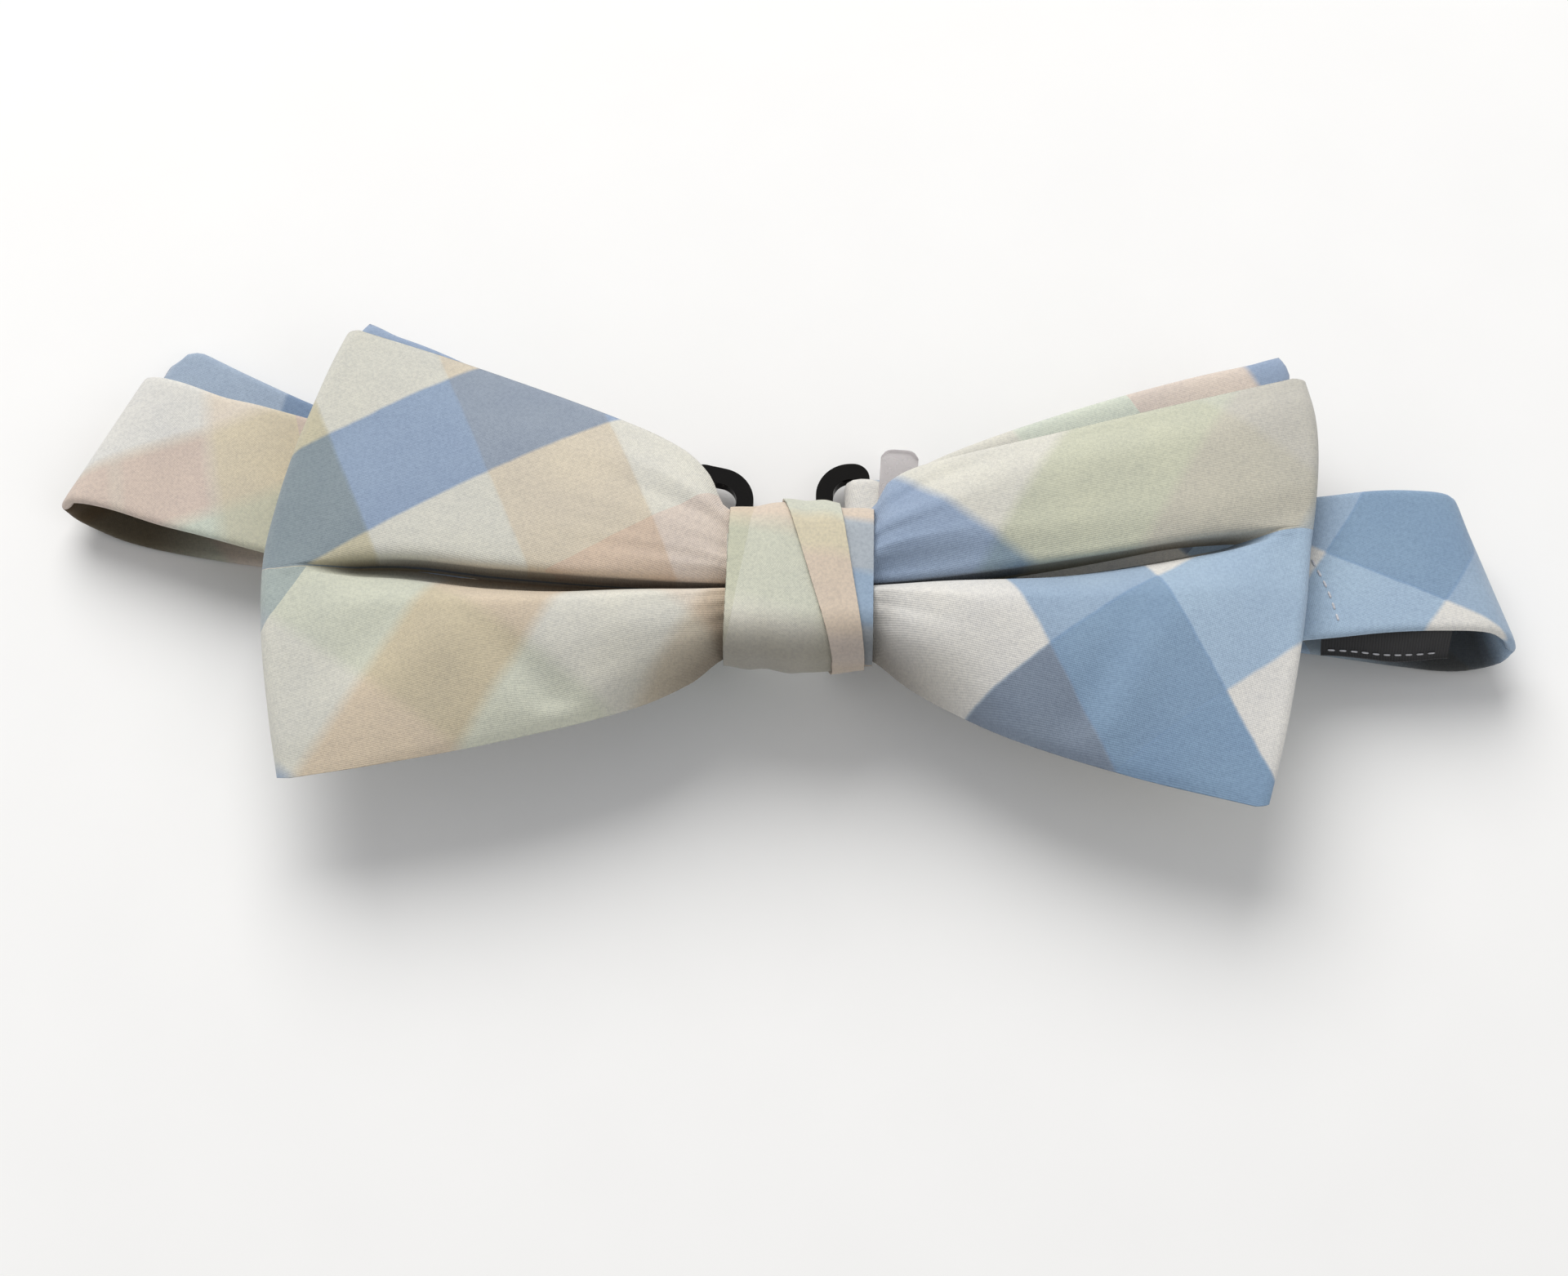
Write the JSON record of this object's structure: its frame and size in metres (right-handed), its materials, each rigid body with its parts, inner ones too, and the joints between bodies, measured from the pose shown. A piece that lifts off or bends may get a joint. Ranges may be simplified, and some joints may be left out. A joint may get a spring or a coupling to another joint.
{
  "type": "bow tie",
  "caption": "Pre-tied bow tie with looped wings over flat tails, a wrapped knot with a slanted pleat, and a hooked adjustable neck strap folded behind the bow.",
  "frame": {"origin": "middle of the underside of the whole part's box, lying on its back", "axes": "+X along the bow from wing to wing, +Y towards its upper edge, +Z out of its face"},
  "size_m": [0.1682, 0.066, 0.0215],
  "materials": {
    "plaid_cotton": "matte plain-weave cotton, watercolour plaid",
    "interlining": "matte non-woven",
    "padding": "matte felt",
    "thread": "spun polyester thread",
    "label_weave": "plain black woven tape",
    "black_metal": "gloss black coated metal",
    "clear_plastic": "clear moulded plastic"
  },
  "bodies": {
    "bow": {"knot_wrap": "plaid_cotton", "knot_pleat": "plaid_cotton", "knot_padding": "padding", "loop_waist": "plaid_cotton", "tail_waist": "plaid_cotton", "waist_thread": "thread", "strap_anchor_stitches": "thread", "left_strap_front": "plaid_cotton", "right_strap_front": "plaid_cotton", "label": "label_weave", "label_stitches": "thread"},
    "left_wing": {"left_loop": "plaid_cotton", "left_loop_interlining": "interlining", "left_tail_front": "plaid_cotton", "left_tail_interlining": "interlining", "left_tail_back": "plaid_cotton"},
    "right_wing": {"right_loop": "plaid_cotton", "right_loop_interlining": "interlining", "right_tail_front": "plaid_cotton", "right_tail_interlining": "interlining", "right_tail_back": "plaid_cotton"},
    "left_fold": {"left_strap_fold": "plaid_cotton"},
    "left_return": {"left_strap_return": "plaid_cotton", "left_strap_spare_end": "plaid_cotton", "left_bar_tack": "thread"},
    "ring": {"ring": "black_metal"},
    "right_fold": {"right_strap_fold": "plaid_cotton"},
    "right_return": {"right_strap_return": "plaid_cotton", "right_strap_doubled": "plaid_cotton"},
    "slider": {"slider": "black_metal", "slider_strap_end": "plaid_cotton"},
    "keeper": {"strap_keeper": "clear_plastic"},
    "hook": {"hook": "black_metal"}
  },
  "joints": [
    {"name": "left_wing_flex", "type": "hinge", "parent": "bow", "child": "left_wing", "pos_m": [-0.00742, -0.0057, 0.019], "axis": [0, 1, 0], "range_deg": [0, 15], "stiffness_Nm_per_rad": 0.02},
    {"name": "right_wing_flex", "type": "hinge", "parent": "bow", "child": "right_wing", "pos_m": [0.01168, -0.0057, 0.019], "axis": [0, -1, 0], "range_deg": [0, 15], "stiffness_Nm_per_rad": 0.02},
    {"name": "right_fold_outer", "type": "hinge", "parent": "bow", "child": "right_fold", "pos_m": [0.08186, -0.00008, 0.00948], "axis": [0.0078, -1, 0], "range_deg": [0, 90]},
    {"name": "right_fold_inner", "type": "hinge", "parent": "right_fold", "child": "right_return", "pos_m": [0.08186, -0.00008, 0.00212], "axis": [0.0078, -1, 0], "range_deg": [0, 90]},
    {"name": "left_fold_outer", "type": "hinge", "parent": "bow", "child": "left_fold", "pos_m": [-0.0802, 0.01706, 0.00751], "axis": [0.2283, 0.9736, 0], "range_deg": [0, 72]},
    {"name": "left_fold_inner", "type": "hinge", "parent": "left_fold", "child": "left_return", "pos_m": [-0.0802, 0.01706, 0.00179], "axis": [0.2283, 0.9736, 0], "range_deg": [0, 72]},
    {"name": "ring_pivot", "type": "hinge", "parent": "left_return", "child": "ring", "pos_m": [-0.01282, 0.0047, 0.00305], "axis": [-0.2283, -0.9736, 0], "range_deg": [0, 12]},
    {"name": "hook_pivot", "type": "hinge", "parent": "right_return", "child": "hook", "pos_m": [0.00978, 0.0043, 0.00305], "axis": [0, -1, 0], "range_deg": [0, 90]},
    {"name": "slider_slide", "type": "slide", "parent": "right_return", "child": "slider", "axis": [0.9979, -0.0645, 0], "range_m": [-0.025, 0], "deforming": ["right_strap_doubled"]},
    {"name": "keeper_slide", "type": "slide", "parent": "right_return", "child": "keeper", "axis": [0.9979, -0.0645, 0], "range_m": [0, 0.006]}
  ],
  "couplings": [
    {"joint": "right_fold_inner", "follows": "right_fold_outer", "ratio": 1},
    {"joint": "left_fold_outer", "follows": "right_fold_outer", "ratio": 0.8},
    {"joint": "left_fold_inner", "follows": "right_fold_outer", "ratio": 0.8}
  ]
}
